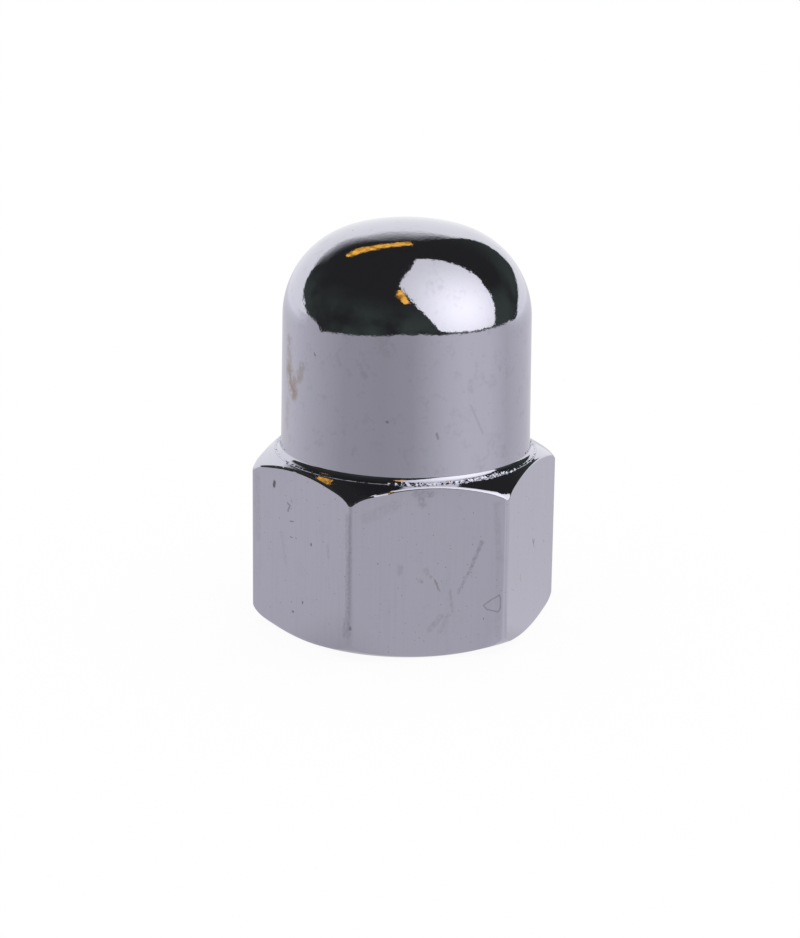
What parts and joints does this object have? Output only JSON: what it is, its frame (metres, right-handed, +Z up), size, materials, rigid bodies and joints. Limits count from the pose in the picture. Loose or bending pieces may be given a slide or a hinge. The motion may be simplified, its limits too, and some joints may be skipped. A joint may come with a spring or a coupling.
{
  "type": "cap nut",
  "caption": "Tall cap nut: a chamfered hexagon under a closed, domed cap, with a blind tapped hole from below.",
  "frame": {"origin": "centre of the ring-shaped face that bears on the work, on the axis of the thread", "axes": "+Z up the axis from the bearing face to the crown of the dome; one flat of the hexagon faces -Y"},
  "size_m": [0.0218, 0.019, 0.0288],
  "materials": {
    "chrome": "polished and bright plated, with fine upright polishing lines, small pits and dull smudges"
  },
  "bodies": {
    "root": {"cap_nut": "chrome"}
  },
  "joints": []
}
